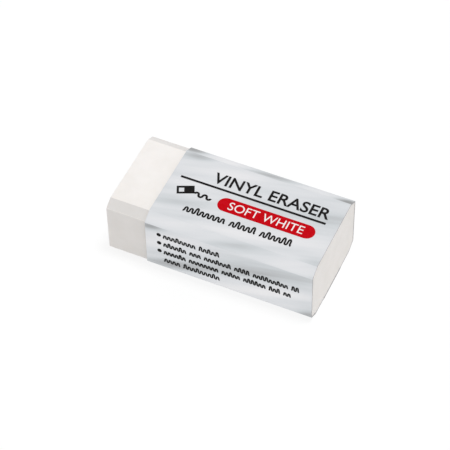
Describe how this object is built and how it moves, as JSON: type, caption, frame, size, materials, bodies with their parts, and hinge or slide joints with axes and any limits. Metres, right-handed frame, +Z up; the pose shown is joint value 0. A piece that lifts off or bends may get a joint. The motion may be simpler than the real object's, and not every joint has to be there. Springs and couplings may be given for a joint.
{
  "type": "vinyl eraser",
  "caption": "White vinyl eraser bar with sloping long edges, held in a folded silver card sleeve that slides along the bar and draws off its plain end.",
  "frame": {"origin": "on the plane that the sleeve's glued lap stands on, under the middle of the bar", "axes": "+X along the bar, from the bare working end to the end that is flush with the sleeve; -Y is the front panel with the rows of bars; +Z up, through the top panel with the red field"},
  "size_m": [0.041, 0.0202, 0.0139],
  "materials": {
    "vinyl": "matte",
    "silver_card": "silver foil face, satin",
    "red_ink": "flat printed ink",
    "black_ink": "flat printed ink"
  },
  "bodies": {
    "block": {"eraser_block": "vinyl"},
    "sleeve": {"sleeve": "silver_card", "red_print": "red_ink", "black_print": "black_ink"}
  },
  "joints": [
    {"name": "sleeve_slide", "type": "slide", "parent": "block", "child": "sleeve", "axis": [1, 0, 0], "range_m": [-0.008, 0.034]}
  ]
}
